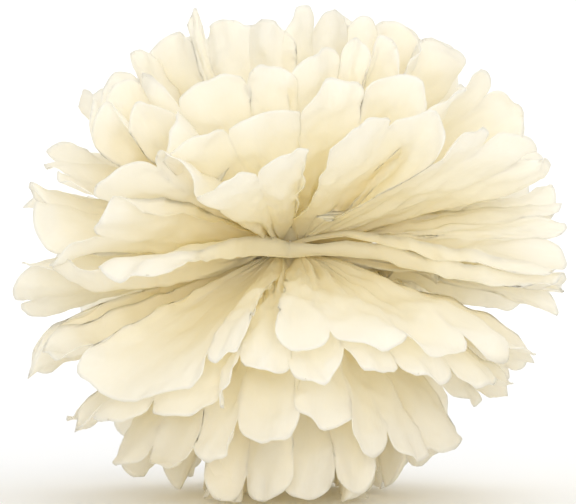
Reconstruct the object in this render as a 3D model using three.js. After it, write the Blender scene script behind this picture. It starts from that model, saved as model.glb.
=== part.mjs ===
// Tissue paper pom pom, 250 mm across.
//
// Ten sheets of ivory tissue are stacked, folded together into a narrow
// accordion strip, tied round the middle with one thin wire, and their ends cut
// round. Each half of each sheet is then opened into a fan of pleats and the
// sheets are pulled apart one by one, five up and five down, until they fill a
// ball. A sheet is one piece of paper: its two fans are joined through the
// gathered neck that the wire holds.
//
// Millimetres, +Z up. X runs along the folded strip, so the two fans of every
// sheet open towards -X and +X, and the wire lies in the plane X = 0. The origin
// is on the surface the pom pom stands on, under the tie.
import * as THREE from "three";

// ---- driving dimensions -------------------------------------------------
const STRIP_LENGTH = 250; // length of the folded strip, end to end
const PANELS = 12; // panels of one sheet, side by side across the strip
const PANEL_WIDTH = 35; // width of one panel, from fold to fold
const LOBE_DEPTH = 14.5; // from the notch at a fold to the tip of a round end
const SHEETS_UP = 5; // sheets pulled up; as many are pulled down
const SHEET_STEP = 16; // degrees between neighbouring sheets
const FIRST_SHEET = 8; // degrees from the level to the first sheet up
const FRONT_SHARE = 0.67; // how far a sheet's two outer pleats are lifted, of its own angle
const STEEPEST = 88; // degrees; no fold leans past this
const MOST_SWING = 32; // degrees; the deepest a pleat swings about its sheet
const GATHER = 11; // from the neck's end to where the pleats stand at full depth
const WALL = 0.5; // thickness of the sheet's solid
const NECK_HALF_LENGTH = 3.6; // half of the gathered neck, along X, at its two edges
const NECK_BOW = 1.0; // in the middle, each sheet leaves the neck this much before the one below it
const NECK_HALF_WIDTH = 4; // half of the gathered neck, along Y
const NECK_PITCH = 1.1; // from one sheet's neck to the next, along Z
const TIE_HEIGHT = 114; // height of the tie above the surface
const RISE_UP = 0.88; // the sheets above bow, so they reach this share of their height
const RISE_DOWN = 0.99; // the sheets below
const WIRE = 0.9; // diameter of the paper-wrapped wire
const WIRE_GAP = 0.35; // between the wire and the necks
const EYE_RADIUS = 3.2; // middle of the wire in the hanging eye
const TWIST_HEIGHT = 16; // length of the twisted pair under the eye
const TWIST_TURNS = 3.5;
const STRAND_GAP = 0.12; // between the two strands

const REACH = STRIP_LENGTH / 2 - NECK_HALF_LENGTH; // neck end to lobe tip
const NOTCH = REACH - LOBE_DEPTH; // neck end to the notches
const ROWS = [0, 6, 18, 42, 76, NOTCH]; // where each fold is bent, from the neck end
const rad = (d) => (d * Math.PI) / 180;

// ---- the shape of a fan -------------------------------------------------
// Squeezes an angle so that no fold passes over the top of the ball.
function squeeze(d) {
  const from = 60,
    room = STEEPEST - from,
    a = Math.abs(d);
  if (a <= from) return d;
  return Math.sign(d) * (from + room * (1 - Math.exp(-(a - from) / room)));
}

// Direction of a ray in the fan on side s (-1 or 1): phi runs from one outer
// pleat, -90, to the other, 90, and psi is how far the sheet is pulled up.
function ray(s, phi, psi) {
  const p = rad(phi),
    q = rad(psi),
    f = rad(psi * FRONT_SHARE);
  return new THREE.Vector3(
    s * Math.cos(p) * Math.cos(q),
    Math.sin(p) * Math.cos(f),
    Math.cos(p) * Math.sin(q) + Math.sin(p) ** 2 * Math.sin(f),
  ).normalize();
}

// A point of a sheet. along is the distance from the neck's end, fold a number
// from 0 to PANELS (whole at a fold), side -1 or 1, face -1 below and 1 above.
function point(sheet, side, along, fold, face) {
  const share = fold / PANELS,
    phi = -90 + 180 * share;
  const psi0 = sheet.angle;
  // How steep the pleats stand follows from their width: the paper can't stretch.
  const here = ray(side, phi, psi0);
  const turn = here.angleTo(ray(side, phi + 1, psi0)) / rad(1);
  const lift = here.angleTo(ray(side, phi, psi0 + 1)) / rad(1);
  const pitch =
    Math.min(along, NOTCH) * turn * rad(180 / PANELS) +
    (2 * NECK_HALF_WIDTH) / PANELS;
  const depth = Math.sqrt(Math.max(1, PANEL_WIDTH ** 2 - pitch ** 2));
  const swing =
    along > 0
      ? (Math.min(depth / 2 / along / lift, rad(MOST_SWING)) / rad(1)) *
        THREE.MathUtils.smoothstep(along, 0, GATHER)
      : 0;
  const inside = fold - Math.floor(fold);
  const zig = Math.floor(fold) % 2 === 0 ? 1 - 2 * inside : 2 * inside - 1;
  const psi = squeeze(psi0 + zig * swing);
  const way = ray(side, phi, psi);
  const up = ray(side, phi, psi + 0.5).sub(ray(side, phi, psi - 0.5)).normalize();
  const slope = along > 0 ? (2 * along * lift * rad(swing)) / pitch : 0;
  const open = THREE.MathUtils.smoothstep(along, 12, 45);
  const wall = WALL * Math.min(Math.sqrt(1 + slope * slope), 1 + 1.4 * open);
  const base = new THREE.Vector3(
    side * (NECK_HALF_LENGTH + sheet.bow * Math.cos(rad(phi))),
    NECK_HALF_WIDTH * (2 * share - 1),
    sheet.level,
  );
  if (along === 0) return base.add(new THREE.Vector3(0, 0, (face * WALL) / 2));
  const p = base.addScaledVector(way, along);
  p.z *= p.z > 0 ? RISE_UP : RISE_DOWN;
  p.addScaledVector(up, (face * wall) / 2);
  // The lowest lobes bend flat where they meet the surface.
  const floor = -TIE_HEIGHT + (face > 0 ? WALL : 0);
  if (p.z < floor) p.z = floor;
  return p;
}

// Where the round end of a panel has its corners: share across the panel, and
// how far past the notches the paper reaches there.
const LOBE = [0.13, 0.34, 0.66, 0.87].map((v) => [
  v,
  LOBE_DEPTH * Math.sqrt(1 - (2 * v - 1) ** 2),
]);

function sheetGeometry(sheet) {
  const verts = [],
    tris = [];
  const add = (v) => verts.push(v) - 1;
  // Rows of fold points from the left notches, over the neck, to the right ones.
  const lines = [
    ...ROWS.map((along) => [-1, along]).reverse(),
    ...ROWS.map((along) => [1, along]),
  ];
  const grid = [-1, 1].map((face) =>
    lines.map(([side, along]) => {
      const row = [];
      for (let j = 0; j <= PANELS; j++)
        row.push(add(point(sheet, side, along, j, face)));
      return row;
    }),
  );
  const quad = (a, b, c, d, flip) => {
    if (flip) tris.push(a, c, b, a, d, c);
    else tris.push(a, b, c, a, c, d);
  };
  for (let f = 0; f < 2; f++)
    for (let r = 0; r + 1 < lines.length; r++)
      for (let j = 0; j < PANELS; j++)
        quad(
          grid[f][r][j],
          grid[f][r + 1][j],
          grid[f][r + 1][j + 1],
          grid[f][r][j + 1],
          f === 0,
        );
  // The two long edges of the sheet.
  for (let r = 0; r + 1 < lines.length; r++) {
    quad(grid[0][r][0], grid[0][r + 1][0], grid[1][r + 1][0], grid[1][r][0], false);
    quad(
      grid[0][r][PANELS],
      grid[0][r + 1][PANELS],
      grid[1][r + 1][PANELS],
      grid[1][r][PANELS],
      true,
    );
  }
  // The round ends of the panels.
  for (const [end, side] of [
    [0, -1],
    [lines.length - 1, 1],
  ])
    for (let j = 0; j < PANELS; j++) {
      const arc = [0, 1].map((f) => [
        grid[f][end][j],
        ...LOBE.map(([v, past]) =>
          add(point(sheet, side, NOTCH + past, j + v, f ? 1 : -1)),
        ),
        grid[f][end][j + 1],
      ]);
      const flip = side < 0;
      for (let f = 0; f < 2; f++) {
        const a = arc[f];
        quad(a[0], a[1], a[4], a[5], (f === 0) !== flip);
        quad(a[1], a[2], a[3], a[4], (f === 0) !== flip);
      }
      for (let i = 0; i + 1 < arc[0].length; i++)
        quad(arc[0][i], arc[0][i + 1], arc[1][i + 1], arc[1][i], flip);
    }
  const position = new Float32Array(verts.length * 3);
  verts.forEach((v, i) => position.set([v.x, v.y, v.z + TIE_HEIGHT], i * 3));
  const g = new THREE.BufferGeometry();
  g.setAttribute("position", new THREE.BufferAttribute(position, 3));
  g.setIndex(tris);
  g.computeVertexNormals();
  return g;
}

// ---- the wire -----------------------------------------------------------
// One wire, doubled: its fold is the hanging eye, its two strands are twisted
// together down to the bundle, part round it, and their ends lie side by side
// underneath.
function tieGeometry() {
  const hy = NECK_HALF_WIDTH + WIRE_GAP + WIRE / 2,
    hz = ((2 * SHEETS_UP - 1) * NECK_PITCH + WALL) / 2 + WIRE_GAP + WIRE / 2,
    corner = 0.9,
    strand = WIRE / 2 + STRAND_GAP / 2,
    low = hz + 1.1,
    high = low + TWIST_HEIGHT;
  // Half of the wire, from its end under the bundle up to the twist, on side s.
  const half = (s) => {
    const out = [
      new THREE.Vector3(s * strand, -s * 2.2, -hz),
      new THREE.Vector3(s * strand, 0, -hz),
      new THREE.Vector3(s * strand * 0.9, s * 2.2, -hz),
    ];
    for (const [cz, from] of [
      [-hz + corner, -90],
      [hz - corner, 0],
    ])
      for (let i = 0; i <= 3; i++) {
        const a = rad(from + 30 * i);
        out.push(
          new THREE.Vector3(
            cz < 0 ? s * strand * (0.6 - 0.2 * i) : 0,
            s * (hy - corner + corner * Math.cos(a)),
            cz + corner * Math.sin(a),
          ),
        );
      }
    out.push(new THREE.Vector3(0, s * 2.2, hz));
    out.push(new THREE.Vector3(0, s * 1.05, hz + 0.22));
    return out;
  };
  const turns = (s) => {
    const out = [],
      steps = Math.round(10 * TWIST_TURNS);
    for (let i = 0; i <= steps; i++) {
      const a = (s * Math.PI) / 2 + (2 * Math.PI * TWIST_TURNS * i) / steps;
      out.push(
        new THREE.Vector3(
          strand * Math.cos(a),
          strand * Math.sin(a),
          low + ((high - low) * i) / steps,
        ),
      );
    }
    return out;
  };
  // After a whole number of half turns the strands are in the plane X = 0 again.
  const first = Math.round(2 * TWIST_TURNS) % 2 ? -1 : 1;
  const eye = [];
  for (let i = 0; i <= 14; i++) {
    const a = rad(24 + (312 * i) / 14);
    eye.push(
      new THREE.Vector3(
        0,
        first * EYE_RADIUS * Math.sin(a),
        high + 1.1 + EYE_RADIUS * (Math.cos(rad(24)) - Math.cos(a)),
      ),
    );
  }
  const points = [
    ...half(1),
    ...turns(1),
    ...eye,
    ...turns(-1).reverse(),
    ...half(-1).reverse(),
  ];
  const round = new THREE.Shape();
  for (let i = 0; i < 7; i++) {
    const a = (2 * Math.PI * i) / 7,
      [x, y] = [(WIRE / 2) * Math.cos(a), (WIRE / 2) * Math.sin(a)];
    if (i) round.lineTo(x, y);
    else round.moveTo(x, y);
  }
  round.closePath();
  const g = new THREE.ExtrudeGeometry(round, {
    steps: Math.round(points.length * 1.1),
    bevelEnabled: false,
    curveSegments: 1,
    extrudePath: new THREE.CatmullRomCurve3(points, false, "centripetal"),
  });
  g.translate(0, 0, TIE_HEIGHT);
  return g;
}

// ---- the assembly -------------------------------------------------------
const tissue = new THREE.MeshStandardMaterial({
  name: "ivory_tissue",
  color: 0xf3e9cf,
  roughness: 0.85,
  metalness: 0,
  side: THREE.DoubleSide,
});
const wrapped = new THREE.MeshStandardMaterial({
  name: "wrapped_wire",
  color: 0xe9e2cf,
  roughness: 0.6,
  metalness: 0.1,
});

const pompom = new THREE.Group();
pompom.name = "tissue_pom_pom";
for (let i = 0; i < 2 * SHEETS_UP; i++) {
  const k = i - SHEETS_UP; // -5 .. 4, counted up from the lowest sheet
  const up = k >= 0;
  const order = up ? k : -k - 1;
  const sheet = {
    angle: (up ? 1 : -1) * (FIRST_SHEET + SHEET_STEP * order),
    level: (k + 0.5) * NECK_PITCH,
    bow: NECK_BOW * ((SHEETS_UP - 1) / 2 - order),
  };
  const mesh = new THREE.Mesh(sheetGeometry(sheet), tissue);
  mesh.name = `tissue_sheet_${up ? "up" : "down"}_${order + 1}`;
  pompom.add(mesh);
}
const tie = new THREE.Mesh(tieGeometry(), wrapped);
tie.name = "wire_tie";
pompom.add(tie);

export default pompom;
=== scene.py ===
# The looks of a tissue paper pom pom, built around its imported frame.
# Ten sheets of tissue, each one closed thin mesh: two fans of pleats joined by
# the gathered neck that the wire holds. Lengths in metres, +Z up.
import math
import bpy
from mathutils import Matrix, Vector
import numpy as np


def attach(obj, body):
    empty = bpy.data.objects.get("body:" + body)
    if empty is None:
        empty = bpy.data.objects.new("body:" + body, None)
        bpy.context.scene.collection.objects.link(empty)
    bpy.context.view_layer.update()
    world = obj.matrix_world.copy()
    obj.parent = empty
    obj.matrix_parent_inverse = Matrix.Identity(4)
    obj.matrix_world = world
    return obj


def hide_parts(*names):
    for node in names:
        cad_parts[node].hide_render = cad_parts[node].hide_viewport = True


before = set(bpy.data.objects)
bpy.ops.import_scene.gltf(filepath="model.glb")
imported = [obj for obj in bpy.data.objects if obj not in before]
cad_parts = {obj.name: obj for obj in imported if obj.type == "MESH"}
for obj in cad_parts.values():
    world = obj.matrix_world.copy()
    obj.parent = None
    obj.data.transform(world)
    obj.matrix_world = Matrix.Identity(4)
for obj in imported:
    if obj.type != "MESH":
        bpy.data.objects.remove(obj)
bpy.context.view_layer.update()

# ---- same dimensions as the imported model, metres ----
L_STRIP=.250; PANELS=12; W=.035; LOBE=.0145; NH=.0036; NHW=.004; PITCH=.0011; TIE=.114
REACH=L_STRIP/2-NH; NOTCH=REACH-LOBE
ANGLES=[8,24,40,56,72]; C=.67
rad=np.deg2rad
def sstep(x,a,b):
    t=np.clip((x-a)/(b-a),0,1); return t*t*(3-2*t)
def squeeze(d,frm=60.,top=88.):
    room=top-frm; a=np.abs(d)
    return np.sign(d)*np.where(a<=frm,a,frm+room*(1-np.exp(-(np.maximum(a,frm)-frm)/room)))
def unit(v): return v/np.maximum(np.linalg.norm(v,axis=-1,keepdims=True),1e-12)
def ray(s,phi,psi):
    p=rad(phi);q=rad(psi);f=rad(psi*C)
    return unit(np.stack([s*np.cos(p)*np.cos(q),np.sin(p)*np.cos(f),np.cos(p)*np.sin(q)+np.sin(p)**2*np.sin(f)],-1))
SEG=16
ROWS=42
def columns():
    k=np.arange(SEG)/SEG
    v=(1-np.cos(np.pi*k))/2*.55+k*.45
    return np.concatenate([j+v for j in range(PANELS)]+[[PANELS]])
def lobe(u,merge=None):
    v=u-np.floor(u)
    f=np.sqrt(np.maximum(0,1-(2*v-1)**2))
    for j,h in (merge or {}).items():
        near=np.clip(1-np.abs(u-j)/.5,0,1)
        f=np.maximum(f,h+(1-h)*(1-near)) if h>.99 else np.where(np.abs(u-j)<.5,np.maximum(f,h+(1-h)*(1-near)**1.5),f)
    return LOBE*f
def rows_t():
    q=np.arange(ROWS+1)/ROWS
    return q**0.8*0.9+0.1*q

NAMES=[f"down_{i}" for i in (5,4,3,2,1)]+[f"up_{i}" for i in (1,2,3,4,5)]
RISE_UP,RISE_DOWN=.88,.99

def waves(r0,x,y,lam,n=14,aniso=1.):
    """soft crumple: a sum of waves in all directions, about one high"""
    f=np.zeros(np.broadcast(x,y).shape)
    for _ in range(n):
        a=r0.uniform(0,np.pi); l=lam*r0.uniform(.7,1.6); p=r0.uniform(0,2*np.pi)
        f=f+np.sin(2*np.pi*(x*np.cos(a)*aniso+y*np.sin(a))/l+p)
    return f/np.sqrt(n/2)

def creases(name,s,chain,P):
    up=name.startswith('up'); order=int(name[-1])-1
    ang=(1 if up else -1)*ANGLES[order]
    nj=PANELS+1
    r0=np.random.default_rng(1000+37*NAMES.index(name)+(s>0)*500)
    j=np.arange(nj)
    lap=1. if (order+(s>0))%2 else -1.          # which half lies over the other at the seams
    end=P.get('end',93.)+(3. if lap>0 else 0.)
    ph=-end+2*end*j/PANELS
    jit=r0.normal(0,1.5,nj)*np.where((j==0)|(j==PANELS),.4,1)
    psj=r0.normal(0,1.6,nj)+lap*P.get('cross',2.)*np.where(j<1,-1.,0)*(1 if up else -1)+lap*P.get('cross',2.)*np.where(j>PANELS-1,-1.,0)*(1 if up else -1)
    # petals at the sides tilt up and down in turn, and fill the gaps between layers
    turn_=np.where((j//2)%2==0,1.,-1.)*(1 if (order+up)%2 else -1)
    psj=psj+P.get('tilt',[4.6,5.2,3.6,2.2,0])[order]*turn_*np.where((j>=3)&(j<=10),1.,0.)
    amp=np.clip(r0.normal(1,.3,nj),.35,1.6)
    open_=r0.uniform(.7,1.05,nj)
    sg=np.where(j%2==0,1.,-1.)
    last=-1; Dt={}
    for jj,v in enumerate(chain or []):
        if v is None: continue
        Dt[jj]=np.array(v)/np.linalg.norm(v)
        last=jj
    if last>=0:
        d=Dt[last]; pl=np.rad2deg(np.arctan2(d[1],abs(d[0])+1e-9))
        for jj in range(last+1,nj): ph[jj]=pl+(end-pl)*(jj-last)/(PANELS-last)
    ph=ph+jit; ps=ang+psj
    here=ray(s,ph,ps)
    lift=np.arccos(np.clip((here*ray(s,ph,ps+1)).sum(-1),-1,1))/rad(1)
    turn=np.arccos(np.clip((here*ray(s,ph+1,ps)).sum(-1),-1,1))/rad(1)
    pitch=NOTCH*turn*rad(np.gradient(ph))
    # every other panel opens wide, the one between folds in behind it
    wide=np.clip((P.get('wide',.0315) if order else .0285)-pitch,0,.02)/2*open_
    phs=ph+np.where(j%2==0,-1,1)*np.rad2deg(wide/NOTCH)/np.maximum(turn,.15)*np.where((j==0)|(j==PANELS),.3,1)
    sw=np.rad2deg((P.get('rim',.0028) if order else .0045)/NOTCH)/lift*amp*(-1 if up else 1)
    D=ray(s,phs,squeeze(ps+sg*sw))
    for jj,v in Dt.items(): D[jj]=v
    for it in range(40):
        for q in range(nj-1):
            c=np.linalg.norm(D[q+1]-D[q])*(NOTCH+NH)
            if c>W*.985:
                f=(c-W*.985)/c/2*(D[q+1]-D[q]); D[q]+=f; D[q+1]-=f
        D=unit(D)
    return D,ph,ps,sg,last

def surf(name,over=None,P=None,seed=0):
    P=P or {}; over=over or {}
    up=name.startswith('up'); order=int(name[-1])-1
    k=order if up else -order-1
    level=(k+.5)*PITCH; bow=.001*(2-order)
    nj=PANELS+1; j=np.arange(nj)
    u=columns(); t=rows_t(); n=len(t)
    ui=np.minimum(np.floor(u).astype(int),PANELS-1); v=u-ui
    out=[]
    for s in (-1,1):
        lob=lobe(u,(P.get('merge') or {}).get((name,s)))
        rl=np.random.default_rng(500+37*NAMES.index(name)+(s>0)*500)
        tall=rl.uniform(.92,1.12,PANELS)
        for q,kk in ((P.get('tall') or {}).get((name,s),{})).items(): tall[q]=kk
        lob=lob*tall[ui]
        D,ph,ps,sg,last=creases(name,s,over.get(s),P)
        r1=np.random.default_rng(9000+37*NAMES.index(name)+(s>0)*500)
        base=np.stack([s*(NH+bow*np.cos(rad(-90+180*j/PANELS))), NHW*(2*j/PANELS-1), np.full(nj,level)],-1)
        Ds=D.copy(); Ds[1:-1]=(D[:-2]+2*D[1:-1]+D[2:])/4
        Ds[0]=(D[0]+D[1])/2; Ds[-1]=(D[-1]+D[-2])/2
        T=np.gradient(Ds,axis=0)
        N=unit(np.cross(Ds,T)*s)
        N0=unit(ray(s,ph,ps+.5)-ray(s,ph,ps-.5))
        N=unit(N*.5+N0*.5)
        R=t*NOTCH
        X=base[None]+R[:,None,None]*D[None]
        # every other panel is a broad face, the ones between fold inward behind them
        kind=np.where(np.arange(PANELS)%2==0,1.,-1.)
        for q,kk in enumerate((P.get('kinds') or {}).get((name,s),[])): kind[q]=kk
        face=kind>0
        Tj=unit(T-(T*D).sum(-1,keepdims=True)*D)
        full=np.linalg.norm(D[1:]-D[:-1],axis=-1)*NOTCH
        grow=(t**P.get('spoon',.6)-t)[:,None]*np.where(face,full,0)[None]/2
        shift=np.zeros((n,nj)); shift[:,:-1]-=grow; shift[:,1:]+=grow
        shift[:,0]*=.4; shift[:,-1]*=.4
        X=X+shift[...,None]*Tj[None]
        outer=-1. if up else 1.
        E=X[:,1:]-X[:,:-1]; c=np.linalg.norm(E,axis=-1)
        Nm=unit((N[1:]+N[:-1])/2)*outer
        # the fold's direction, square to the panel's own chord
        along=unit(D[:-1]+D[1:])
        pn=unit(Nm[None]-(Nm[None]*unit(E)).sum(-1,keepdims=True)*unit(E))
        pn=unit(pn-(pn*along[None]).sum(-1,keepdims=True)*along[None])
        c=np.minimum(c,W*.999)
        need=np.sqrt(3/8*c*(W-c)+.25*(W-c)**2)
        shallow=P.get('cup',.12)*c*r1.uniform(.5,1.3,PANELS)[None]*np.where(r1.random(PANELS)<P.get('flip',.35),-1,1)[None]
        # behind, the faces belly out instead
        belly=.55*need*r1.uniform(.85,1.1,PANELS)[None]
        shallow=np.where((np.arange(PANELS)>=7)[None],np.minimum(belly,R[:,None]*.26),shallow)
        deep=-np.minimum(need,np.minimum(P.get('tuck',.0165) if order else .0095,R[:,None]*P.get('lean',.20)))*r1.uniform(.8,1.05,PANELS)[None]
        b=np.where(face[None],np.clip(shallow,-need,need),deep)*sstep(R,0,.02)[:,None]
        G=X[:,ui]+(X[:,ui+1]-X[:,ui])*v[None,:,None]
        pnc=pn[:,ui]
        prof=4*v*(1-v)
        G=G+(b[:,ui]*prof[None])[...,None]*pnc
        # fine gathers towards the tie take up the rest of the panel's width
        hidden=(~face)|(np.arange(PANELS)>=6)
        nw=np.where(hidden,3,2)
        flat_=np.zeros(PANELS,bool); flat_[list((P.get('flat') or {}).get((name,s),[]))]=True
        b=np.where(flat_[None],b*.25,b)
        q=4*np.abs(b); used=(np.sqrt(c*c+q*q)+c)/2*.55+np.sqrt(c*c+q*q/3)*.45
        lam=used/nw
        A=np.sqrt(np.clip((W/nw)**2-lam**2,0,None))/4
        A=np.minimum(A,(.18 if order<4 else .22)*R[:,None])
        vis=np.where(face[None],1-sstep(t,P.get('g0',.25),P.get('g1',.8))[:,None],1-.6*sstep(t,.6,1.)[:,None])
        back=np.clip((np.arange(PANELS)-P.get('hid',6.)),0,1)[None]*np.ones((n,1))
        vis=np.maximum(vis,back*(1-sstep(t,.45,.9))[:,None]*.9)
        lift_=P.get('more',{}).get(name,1.)
        A=A*vis*np.where(face[None],1+(lift_-1)*.35,lift_)
        near=1-P.get('calm',.5)*(1-sstep(np.arange(PANELS),3.5,6.5))
        near=np.where(flat_,.22,near)
        A=A*near[None]
        if (P.get('edge') or {}).get((name,s)): A[:,0]*=.25; b[:,0]*=.3
        # all ten sheets were folded together, so their gathers nest: one set of phases a side
        rn=np.random.default_rng(77+(s>0))
        phs=rn.uniform(0,2*np.pi,PANELS)
        wob=waves(rn,u[None,:]*W,t[:,None]*NOTCH,.045,8)
        side=np.sin(np.pi*v)**.5
        G=G+(A[:,ui]*np.sin(2*np.pi*nw[ui][None]*v[None]+phs[ui][None]+.9*wob)*side[None])[...,None]*pnc
        # the panel's end: a round lobe, continued along the sheet
        Tn=np.gradient(G,axis=0)/np.gradient(t*NOTCH)[:,None,None]
        Tn=unit(Tn)
        w=sstep(t,.5,1.)[:,None,None]
        G=G+Tn*(lob[None,:,None])*w
        # the free front edge: its line, and the margin that turns over beside it
        ed=(P.get('edge') or {}).get((name,s))
        if ed:
            ub,fwd,zs,ws=ed
            nb=int(np.searchsorted(u,ub)); one=int(np.searchsorted(u,1.))
            at=lambda tab: np.interp(R*1000,[q[0] for q in tab],[q[1] for q in tab])/1000
            dz,w_=at(zs),at(ws)
            B=base[0]+R[:,None]*D[0]
            B[:,1]-=fwd*np.exp(-(R/.022)**2); B[:,2]+=dz
            B[:,0]-=s*(NH-.0006)*np.exp(-(R/.03)**2)
            if order==1:                                 # one half laps over the other in front
                over_=sstep(R,0,.010)*np.exp(-(R/.045)**2)
                B[:,0]-=s*.0028*over_; B[:,1]-=(.0022 if s>0 else 0)*over_
            far=sstep(R,.085,NOTCH)                      # the rim keeps its own shape
            ext=(lob[None,:]*w[:,:,0])
            rest=G[:,one]
            for i_ in range(nb,one):
                f=(u[i_]-u[nb])/(1-u[nb])
                L=B+(rest-B)*f
                L[:,2]-=np.sin(np.pi*f)*.0015*(1 if up else -1)*sstep(R,.01,.04)
                G[:,i_]=L*(1-far[:,None])+G[:,i_]*far[:,None]
            band=(u[nb]-u[:nb])*W
            full_=band[0]
            for i_ in range(nb):
                q=band[i_]/full_
                fall=w_*np.sin(q*np.pi/2)**.8
                out_=np.sqrt(np.maximum(full_**2-w_**2,0))*(1-np.cos(q*np.pi/2))*.5
                L=B.copy(); L[:,2]-=fall; L[:,1]-=out_
                G[:,i_]=L*(1-far[:,None])+(G[:,i_]-np.array([0,0,1.])*(w_*q)[:,None])*far[:,None]
        # a broad petal made of several panels has no creases left in it
        grp=sorted((P.get('flat') or {}).get((name,s),[]))
        if grp:
            lo_,hi_=grp[0],grp[-1]+1
            wt=sstep(u,lo_+.1,lo_+.55)*(1-sstep(u,hi_-.55,hi_-.1))*1.
            kx=np.arange(-18,19); kern=np.exp(-(kx/8.)**2/2); kern/=kern.sum()
            pad=np.pad(G,((0,0),(18,18),(0,0)),mode='edge')
            Gs=sum(kern[i]*pad[:,i:i+G.shape[1]] for i in range(len(kx)))
            mixw=(wt[None,:]*sstep(t,.05,.3)[:,None])[...,None]
            G=G*(1-mixw)+Gs*mixw
        # normals of the made surface, for curls and crumple
        du=np.gradient(G,axis=1); dv=np.gradient(G,axis=0)
        nn=unit(np.cross(dv,du))*s
        # curl of each petal's end
        rr=t[:,None]*NOTCH+lob[None,:]*w[...,0]
        curl=r1.normal(P.get('curl_mean',.0065) if order else .001,P.get('curl',.003),PANELS+1)*(1 if up else -1)
        cc=curl[ui]*(1-sstep(v,.0,1.))+curl[np.minimum(ui+1,PANELS)]*sstep(v,0,1.)
        zz=np.clip((rr-.080)/(REACH-.080),0,None)**2
        Nc=unit(N[ui]*(1-v)[:,None]+N[ui+1]*v[:,None])
        G=G+(zz*cc[None])[...,None]*Nc[None]
        # crumple and the ruffled rim
        xx=u[None,:]*W; yy=rr*s
        soft=waves(r1,xx,yy,.024)*.0008*sstep(rr,.02,.07)
        fine=waves(r1,xx,yy,.0095)*.00028*sstep(rr,.01,.05)
        hem=waves(r1,xx,yy*.3,.013)*.0008*sstep(rr,REACH-.022,REACH)
        calm_=1-.55*(wt[None,:] if grp else 0.)
        G=G+((soft+fine+hem)*calm_*P.get('crumple',1.))[...,None]*nn
        out.append(G)
    return np.concatenate([out[0][::-1],out[1]],0),(RISE_UP,RISE_DOWN)

# how full the ball is, by direction in its front outline (every 15 degrees from -180)
FULL=[.985,1.03,1.07,1.05,1.015,1.,1.,.99,.965,.965,.99,1.01,1.015,1.02,1.04,1.045,1.02,.985,.965,.965,.985,1.,.99,.98,.985]
def finish(G,RU,RD):
    P=G.copy()
    z=P[...,2]
    z=np.where(z>0,z*RU,z*RD)
    out_=np.hypot(P[...,0],z)
    k=np.interp(np.rad2deg(np.arctan2(z,P[...,0])),np.arange(-180,181,15),FULL)
    k=1+(k-1)*sstep(out_,.045,.10)
    P[...,0]*=k; z=z*k+TIE
    # the lowest petals flatten where they meet the table
    soft=.004
    z=np.where(z<soft,soft*np.exp((np.minimum(z,soft)-soft)/soft),z)
    P[...,2]=z+.0001
    return P
def area_of(G):
    a=G[:-1,:-1];b=G[:-1,1:];c=G[1:,1:];d=G[1:,:-1]
    return (np.linalg.norm(np.cross(b-a,c-a),axis=-1).sum()+np.linalg.norm(np.cross(c-a,d-a),axis=-1).sum())/2

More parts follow.
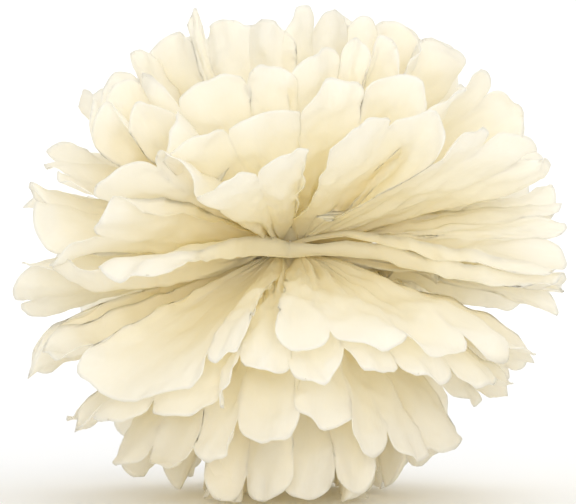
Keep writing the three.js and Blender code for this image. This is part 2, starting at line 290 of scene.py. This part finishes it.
CREASES = {
    "up_1": {
        -1: [(-61.4, -88.2, 25.7), (-79.2, -77.0, 2.4), (-96.6, -53.7, -0.0)],
        1: [(99.8, -47.2, -5.8), (110.4, -0.1, 5.7), (109.4, -0.1, 15.4)],
    },
    "up_2": {
        -1: [(11.8, -101.3, 42.6), (-10.1, -105.9, 30.1), (-35.4, -102.5, 21.1), (-55.4, -89.6, 33.4), (-73.9, -79.4, 21.0), (-91.3, -54.4, 30.4), (-104.7, -0.1, 35.4)],
        1: [(13.5, -101.0, 42.6), (39.7, -88.0, 53.8), (55.4, -88.4, 36.3), (78.3, -64.3, 44.0), (99.4, -29.4, 38.2), (107.1, -0.1, 27.2)],
    },
    "up_3": {
        -1: [(8.5, -91.5, 61.4), (-23.3, -95.5, 50.6), (-51.9, -90.6, 36.3), (-46.3, -81.2, 59.0), (-69.1, -72.5, 46.6), (-84.0, -57.2, 43.3)],
        1: [(0.8, -93.2, 59.3), (30.0, -83.7, 65.7), (46.0, -89.3, 46.0), (60.2, -60.8, 69.9), (87.8, -0.1, 67.0), (100.8, -0.1, 45.2)],
    },
    "up_4": {
        -1: [(7.7, -80.2, 75.6), (-16.3, -78.8, 75.7), (-45.6, -78.5, 63.0), (-66.2, -47.4, 74.7), (-85.0, -50.4, 49.5)],
        1: [(-4.3, -81.4, 74.6), (19.6, -63.1, 88.6), (32.1, -67.5, 81.4), (40.4, -78.9, 65.9), (52.1, -14.4, 96.4), (75.5, -0.1, 80.7)],
    },
    "up_5": {
        -1: [(6.1, -55.9, 95.1), (-17.8, -36.6, 102.7), (-38.7, -23.8, 100.7), (-46.9, -20.4, 97.9), (-71.2, -0.1, 84.5)],
        1: [(-6.1, -53.9, 96.3), (8.0, -33.4, 105.0), (26.6, -0.1, 107.3), (41.8, -0.1, 102.3), (61.2, -0.1, 92.0)],
    },
    "down_1": {
        -1: [(-43.8, -101.4, -3.8), (-71.0, -84.4, -6.5), (-102.2, -39.4, -14.8), (-108.1, -22.2, -5.0)],
        1: [(102.1, -40.9, -11.2), (108.6, -0.1, -20.2), (110.1, -0.1, -9.7)],
    },
    "down_2": {
        -1: [(-15.1, -104.7, -31.8), (-32.1, -98.0, -39.7), (-47.9, -84.2, -53.2), (-66.8, -67.8, -56.1), (-79.1, -66.0, -39.9), (-96.8, -39.8, -35.4), (-102.6, -34.6, -22.1)],
        1: [(-10.1, -105.8, -30.1), (13.4, -104.7, -32.7), (40.6, -96.8, -34.6), (71.0, -78.2, -32.6), (91.8, -46.9, -39.7), (105.5, -0.1, -32.8)],
    },
    "down_3": {
        -1: [(3.4, -102.1, -42.1), (-18.6, -99.7, -43.9), (-28.1, -89.1, -59.0), (-50.8, -77.3, -60.4), (-71.1, -53.9, -65.2), (-93.6, -0.1, -58.7)],
        1: [(-5.1, -101.3, -43.9), (20.2, -100.6, -40.9), (43.4, -90.2, -46.9), (67.2, -75.9, -44.0), (85.6, -47.5, -51.3), (96.8, -0.1, -53.4)],
    },
    "down_4": {
        -1: [(7.7, -91.5, -61.4), (-20.6, -81.7, -71.5), (-39.0, -68.4, -77.5), (-57.6, -43.7, -83.6), (-76.6, -0.1, -79.7)],
        1: [(-1.7, -91.9, -61.4), (25.7, -84.0, -67.0), (39.0, -68.4, -77.5), (60.4, -30.9, -87.2), (82.0, -0.1, -74.1)],
    },
    "down_5": {
        -1: [(5.2, -60.8, -92.1), (-17.7, -46.7, -98.6), (-37.6, -45.8, -93.3)],
        1: [(-8.8, -55.4, -95.2), (17.6, -51.0, -96.4), (38.8, -48.7, -91.3)],
    },
}
KINDS = {('up_1', -1): [1, 1, -1], ('up_1', 1): [1, 1, -1], ('up_2', -1): [1, 1, -1, 1, 1, -1], ('up_2', 1): [1, -1, 1, 1, 1, -1], ('up_3', -1): [1, 1, -1, 1, -1, 1], ('up_3', 1): [1, -1, 1, 1, 1, -1], ('up_4', -1): [1, 1, 1, 1, -1, 1], ('up_4', 1): [1, 1, -1, 1, 1, -1], ('up_5', -1): [1, 1, 1, 1, -1], ('up_5', 1): [1, 1, 1, 1, -1], ('down_2', -1): [1, 1, 1, 1, -1], ('down_2', 1): [1, 1, 1, 1, -1], ('down_3', -1): [1, 1, 1, 1, 1, -1], ('down_3', 1): [1, 1, 1, 1, -1], ('down_4', -1): [1, 1, 1, 1, -1], ('down_4', 1): [1, 1, 1, 1, -1], ('down_5', -1): [1, 1, -1], ('down_5', 1): [1, 1, -1]}
MERGE = {('down_2', -1): {2: 0.95, 3: 0.8}, ('up_5', -1): {1: 0.6}, ('up_5', 1): {2: 0.5}, ('down_4', 1): {3: 0.5}}
EDGE = {('down_1', -1): (0.3, 0.011, [(0, 3.0), (12, 5.5), (25, 7.5), (45, 6.5), (65, 4.5), (85, 2.0), (111, 0)], [(0, 7.5), (12, 9), (25, 10), (45, 9), (65, 6.5), (85, 4.5), (111, 3)]), ('down_1', 1): (0.3, 0.011, [(0, 3.0), (12, 3.0), (25, 6.5), (45, 6.5), (70, 2.5), (111, 0)], [(0, 7.5), (12, 5.0), (25, 7.5), (45, 8), (70, 8), (90, 7), (111, 5)]), ('up_1', -1): (0.26, 0.004, [(0, 0.5), (25, 1), (50, 3.5), (80, 4), (111, 0)], [(0, 1), (30, 1.2), (50, 3), (70, 6), (90, 8), (111, 8)]), ('up_1', 1): (0.16, 0.006, [(0, 2), (12, 6), (25, 9), (45, 7.0), (70, 2), (111, 0)], [(0, 2), (25, 3), (45, 6), (111, 6)]), ('up_2', -1): (0.12, 0.0078, [(0, 9), (12, 8), (30, 3), (60, 0), (111, 0)], [(0, 1), (30, 1), (111, 0.5)]), ('up_2', 1): (0.12, 0.0072, [(0, 9), (12, 8), (30, 3), (60, 0), (111, 0)], [(0, 1), (30, 1), (111, 0.5)]), ('down_2', -1): (0.12, 0.0078, [(0, -8.5), (12, -7), (30, -3), (60, 0), (111, 0)], [(0, 1), (30, 1), (111, 0.5)]), ('down_2', 1): (0.12, 0.0072, [(0, -8.5), (12, -7), (30, -3), (60, 0), (111, 0)], [(0, 1), (30, 1), (111, 0.5)])}
MORE = {'up_1': 1.4, 'up_2': 1.4, 'up_3': 1.45, 'up_4': 1.75, 'up_5': 2.15, 'down_1': 1.15, 'down_2': 1.35, 'down_3': 1.3, 'down_4': 1.25, 'down_5': 1.35}
TALL = {('up_5', -1): {2: 1.5}, ('up_5', 1): {0: 1.45}}
FLAT = {('down_2', -1): [1, 2, 3]}


def build_sheet(key):
    G,(RU,RD)=surf(key, over=CREASES.get(key), P=dict(kinds=KINDS,merge=MERGE,edge=EDGE,more=MORE,tall=TALL,flat=FLAT))
    G=finish(G,RU,RD)
    u=columns()*W
    t=rows_t()
    v=np.concatenate([-t[::-1]*REACH, t*REACH])
    uv=np.stack(np.broadcast_arrays(u[None,:]+0*v[:,None], v[:,None]+0*u[None,:]),-1)
    return G, uv

WORLD = 0.85
EXPOSURE = 0.0
LIGHTS = [
    ("front", (0.05, -2.3, 0.30), (1.1, 1.1), 21.0),
    ("key", (0.7, -0.7, 1.8), (1.3, 1.3), 4.0),
    ("backdrop", (0.0, 1.9, 3.4), (3.0, 0.8), 60.0, (0.0, 4.4, 0.9)),
]

# ---- meshes -------------------------------------------------------------
THICK = 0.00016
def sheet_mesh(name, G, uv):
    """A closed thin sheet from a grid of points: two faces and the edge all round."""
    r, c = G.shape[:2]
    du = np.gradient(G, axis=1)
    dv = np.gradient(G, axis=0)
    n = np.cross(du, dv)
    n /= np.maximum(np.linalg.norm(n, axis=-1, keepdims=True), 1e-12)
    top = (G + n * THICK / 2).reshape(-1, 3)
    low = (G - n * THICK / 2).reshape(-1, 3)
    co = np.concatenate([top, low]).astype(np.float32)
    i = np.arange(r * c).reshape(r, c)
    a, b, d, e = i[:-1, :-1], i[:-1, 1:], i[1:, 1:], i[1:, :-1]
    quads_top = np.stack([a, b, d, e], -1).reshape(-1, 4)
    quads_low = np.stack([e, d, b, a], -1).reshape(-1, 4) + r * c
    loop = np.concatenate([i[0, :], i[1:, -1], i[-1, -2::-1], i[-2:0:-1, 0]])
    nxt = np.roll(loop, -1)
    wall = np.stack([nxt, loop, loop + r * c, nxt + r * c], -1)
    quads = np.concatenate([quads_top, quads_low, wall]).astype(np.int32)
    me = bpy.data.meshes.new(name)
    me.vertices.add(len(co))
    me.vertices.foreach_set("co", co.ravel())
    me.loops.add(len(quads) * 4)
    me.loops.foreach_set("vertex_index", quads.ravel())
    me.polygons.add(len(quads))
    me.polygons.foreach_set("loop_start", np.arange(0, len(quads) * 4, 4, dtype=np.int32))
    me.polygons.foreach_set("loop_total", np.full(len(quads), 4, np.int32))
    me.update(calc_edges=True)
    me.validate()
    layer = me.uv_layers.new(name="sheet")
    flat = np.concatenate([uv.reshape(-1, 2)] * 2).astype(np.float32)
    layer.data.foreach_set("uv", flat[quads.ravel()].ravel())
    smooth = np.ones(len(quads), bool)
    smooth[-len(wall):] = False          # the cut edge stays crisp
    me.polygons.foreach_set("use_smooth", smooth)
    me.update()
    o = bpy.data.objects.new(name, me)
    bpy.context.scene.collection.objects.link(o)
    return o


# ---- materials ----------------------------------------------------------
def new_material(name):
    m = bpy.data.materials.new(name)
    m.use_nodes = True
    m.node_tree.nodes.clear()
    return m, m.node_tree.nodes, m.node_tree.links


def ramp(nodes, stops):
    r = nodes.new("ShaderNodeValToRGB")
    el = r.color_ramp.elements
    while len(el) < len(stops):
        el.new(0.5)
    for e, (p, c) in zip(el, stops):
        e.position = p
        e.color = (*c, 1.0)
    return r


def tissue_material():
    m, nodes, links = new_material("ivory_tissue")
    out = nodes.new("ShaderNodeOutputMaterial")
    pr = nodes.new("ShaderNodeBsdfPrincipled")
    tr = nodes.new("ShaderNodeBsdfTranslucent")
    mix = nodes.new("ShaderNodeMixShader")
    uv = nodes.new("ShaderNodeUVMap")
    uv.uv_map = "sheet"
    # long fibres: the pulp lies along the sheet
    mp = nodes.new("ShaderNodeMapping")
    mp.inputs["Scale"].default_value = (1.0, 0.28, 1.0)
    links.new(uv.outputs["UV"], mp.inputs["Vector"])
    fibre = nodes.new("ShaderNodeTexNoise")
    fibre.inputs["Scale"].default_value = 900.0
    fibre.inputs["Detail"].default_value = 3.0
    fibre.inputs["Roughness"].default_value = 0.62
    links.new(mp.outputs["Vector"], fibre.inputs["Vector"])
    cloud = nodes.new("ShaderNodeTexNoise")
    cloud.inputs["Scale"].default_value = 38.0
    cloud.inputs["Detail"].default_value = 2.0
    cloud.inputs["Roughness"].default_value = 0.55
    links.new(uv.outputs["UV"], cloud.inputs["Vector"])
    both = nodes.new("ShaderNodeMath")
    both.operation = "MULTIPLY_ADD"
    both.inputs[1].default_value = 0.45
    links.new(fibre.outputs["Fac"], both.inputs[0])
    half = nodes.new("ShaderNodeMath")
    half.operation = "MULTIPLY"
    half.inputs[1].default_value = 0.55
    links.new(cloud.outputs["Fac"], half.inputs[0])
    links.new(half.outputs[0], both.inputs[2])
    tone = ramp(nodes, [(0.32, TONE_LOW), (0.68, TONE_HIGH)])
    links.new(both.outputs[0], tone.inputs["Fac"])
    # painted shade: a ramp on the distance from the neck turns the paper warmer and darker towards the tie, standing
    # in for the shade deep among the gathers; it is multiplied into both the reflected and the translucent colour
    along = nodes.new("ShaderNodeSeparateXYZ")
    links.new(uv.outputs["UV"], along.inputs[0])
    away = nodes.new("ShaderNodeMath")
    away.operation = "ABSOLUTE"
    links.new(along.outputs["Y"], away.inputs[0])
    painted_shade_fac = nodes.new("ShaderNodeMapRange")
    painted_shade_fac.inputs["From Min"].default_value = 0.018
    painted_shade_fac.inputs["From Max"].default_value = 0.112
    links.new(away.outputs[0], painted_shade_fac.inputs["Value"])
    neck_painted_shade = ramp(nodes, NECK_PAINTED_SHADE)
    links.new(painted_shade_fac.outputs["Result"], neck_painted_shade.inputs["Fac"])
    tone_with_painted_shade = nodes.new("ShaderNodeMix")
    tone_with_painted_shade.data_type = "RGBA"
    tone_with_painted_shade.blend_type = "MULTIPLY"
    tone_with_painted_shade.inputs["Factor"].default_value = 1.0
    links.new(tone.outputs["Color"], tone_with_painted_shade.inputs["A"])
    links.new(neck_painted_shade.outputs["Color"], tone_with_painted_shade.inputs["B"])
    links.new(tone_with_painted_shade.outputs["Result"], pr.inputs["Base Color"])
    warm = ramp(nodes, [(0.32, GLOW_LOW), (0.68, GLOW_HIGH)])
    links.new(both.outputs[0], warm.inputs["Fac"])
    glow_with_painted_shade = nodes.new("ShaderNodeMix")
    glow_with_painted_shade.data_type = "RGBA"
    glow_with_painted_shade.blend_type = "MULTIPLY"
    glow_with_painted_shade.inputs["Factor"].default_value = 1.0
    links.new(warm.outputs["Color"], glow_with_painted_shade.inputs["A"])
    links.new(neck_painted_shade.outputs["Color"], glow_with_painted_shade.inputs["B"])
    links.new(glow_with_painted_shade.outputs["Result"], tr.inputs["Color"])
    rough = nodes.new("ShaderNodeMapRange")
    rough.inputs["To Min"].default_value = 0.72
    rough.inputs["To Max"].default_value = 0.92
    links.new(fibre.outputs["Fac"], rough.inputs["Value"])
    links.new(rough.outputs["Result"], pr.inputs["Roughness"])
    pr.inputs["Specular IOR Level"].default_value = 0.22
    # crinkle: soft creases about 6 mm apart
    crinkle = nodes.new("ShaderNodeTexNoise")
    crinkle.inputs["Scale"].default_value = 70.0
    crinkle.inputs["Detail"].default_value = 2.0
    crinkle.inputs["Roughness"].default_value = 0.5
    crinkle.inputs["Distortion"].default_value = 0.9
    links.new(uv.outputs["UV"], crinkle.inputs["Vector"])
    b1 = nodes.new("ShaderNodeBump")
    b1.inputs["Strength"].default_value = 0.35
    b1.inputs["Distance"].default_value = 0.0007
    links.new(crinkle.outputs["Fac"], b1.inputs["Height"])
    links.new(b1.outputs["Normal"], pr.inputs["Normal"])
    mix.inputs["Fac"].default_value = THROUGH
    links.new(pr.outputs["BSDF"], mix.inputs[1])
    links.new(tr.outputs["BSDF"], mix.inputs[2])
    links.new(mix.outputs["Shader"], out.inputs["Surface"])
    return m


def wire_material():
    m, nodes, links = new_material("paper_wrapped_wire")
    out = nodes.new("ShaderNodeOutputMaterial")
    pr = nodes.new("ShaderNodeBsdfPrincipled")
    tc = nodes.new("ShaderNodeTexCoord")
    wave = nodes.new("ShaderNodeTexWave")
    wave.bands_direction = "Z"
    wave.inputs["Scale"].default_value = 260.0
    wave.inputs["Distortion"].default_value = 2.5
    wave.inputs["Detail"].default_value = 2.0
    links.new(tc.outputs["Object"], wave.inputs["Vector"])
    tone = ramp(nodes, [(0.2, (0.62, 0.55, 0.40)), (0.8, (0.80, 0.74, 0.60))])
    links.new(wave.outputs["Fac"], tone.inputs["Fac"])
    links.new(tone.outputs["Color"], pr.inputs["Base Color"])
    pr.inputs["Roughness"].default_value = 0.7
    b = nodes.new("ShaderNodeBump")
    b.inputs["Strength"].default_value = 0.5
    b.inputs["Distance"].default_value = 0.00006
    links.new(wave.outputs["Fac"], b.inputs["Height"])
    links.new(b.outputs["Normal"], pr.inputs["Normal"])
    links.new(pr.outputs["BSDF"], out.inputs["Surface"])
    return m


TONE_LOW = (0.972, 0.951, 0.885)
TONE_HIGH = (0.988, 0.974, 0.928)
GLOW_LOW = (0.979, 0.958, 0.882)
GLOW_HIGH = (0.992, 0.978, 0.930)
# painted shade: warmer and darker at the neck, fading to white at the rim
NECK_PAINTED_SHADE = [(0.0, (1.0, 0.985, 0.88)), (0.5, (1.0, 0.99, 0.925)), (1.0, (1.0, 1.0, 1.0))]
THROUGH = 0.55

tissue = tissue_material()
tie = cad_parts["wire_tie"]
tie.data.materials.clear()
tie.data.materials.append(wire_material())

# ---- the sheets ---------------------------------------------------------
for key in NAMES:
    G, uv = build_sheet(key)
    o = sheet_mesh("sheet_" + key, G, uv)
    o.data.materials.append(tissue)
    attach(o, "root")
    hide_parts("tissue_sheet_" + key)

# ---- stage --------------------------------------------------------------
def stage_floor():
    # A pale floor that runs far back and curves up behind, one smooth sweep.
    pts = [(-4.5, 0.0), (-1.5, 0.0), (1.5, 0.0), (3.1, 0.0)]
    for k in range(1, 17):
        a = math.pi / 2 * k / 16
        pts.append((3.1 + 1.4 * math.sin(a), 1.4 * (1 - math.cos(a))))
    pts.append((4.5, 4.5))
    verts, faces = [], []
    for y, z in pts:
        verts += [(-4.5, y, z), (4.5, y, z)]
    for k in range(len(pts) - 1):
        faces.append((2 * k, 2 * k + 1, 2 * k + 3, 2 * k + 2))
    me = bpy.data.meshes.new("floor")
    me.from_pydata(verts, [], faces)
    me.polygons.foreach_set("use_smooth", [True] * len(faces))
    o = bpy.data.objects.new("floor", me)
    bpy.context.scene.collection.objects.link(o)
    m, nodes, links = new_material("pale_floor")
    out = nodes.new("ShaderNodeOutputMaterial")
    pr = nodes.new("ShaderNodeBsdfPrincipled")
    pr.inputs["Base Color"].default_value = (0.93, 0.93, 0.925, 1)
    pr.inputs["Roughness"].default_value = 0.9
    pr.inputs["Specular IOR Level"].default_value = 0.1
    links.new(pr.outputs["BSDF"], out.inputs["Surface"])
    me.materials.append(m)
    return o


stage_floor()

world = bpy.data.worlds.new("studio")
bpy.context.scene.world = world
world.use_nodes = True
world.node_tree.nodes["Background"].inputs[0].default_value = (1.0, 1.0, 1.0, 1)
world.node_tree.nodes["Background"].inputs[1].default_value = WORLD


def area(name, where, size, power, aim=(0, 0, 0.11), colour=(1, 1, 1)):
    light = bpy.data.lights.new(name, "AREA")
    light.shape = "RECTANGLE"
    light.size, light.size_y = size
    light.energy = power
    light.color = colour
    o = bpy.data.objects.new(name, light)
    bpy.context.scene.collection.objects.link(o)
    o.location = where
    d = Vector(aim) - Vector(where)
    o.rotation_euler = d.to_track_quat("-Z", "Y").to_euler()
    return o


for spec in LIGHTS:
    area(*spec)

# ---- camera -------------------------------------------------------------
cam = bpy.data.cameras.new("camera")
cam_o = bpy.data.objects.new("camera", cam)
bpy.context.scene.collection.objects.link(cam_o)
cam.sensor_width = 36.0
cam.lens = 2180.0 * 1.25 * 36.0 / 576.0
cam_o.location = (-2.0 / 2180.0, -1.25, 0.114 - 5.0 / 2180.0)
cam_o.rotation_euler = (math.pi / 2, 0, 0)
cam.clip_end = 20
bpy.context.scene.camera = cam_o

scene = bpy.context.scene
scene.view_settings.view_transform = "Standard"
scene.view_settings.look = "None"
scene.view_settings.exposure = EXPOSURE
scene.cycles.max_bounces = 40
scene.cycles.diffuse_bounces = 32
scene.cycles.transmission_bounces = 32

bpy.context.view_layer.update()
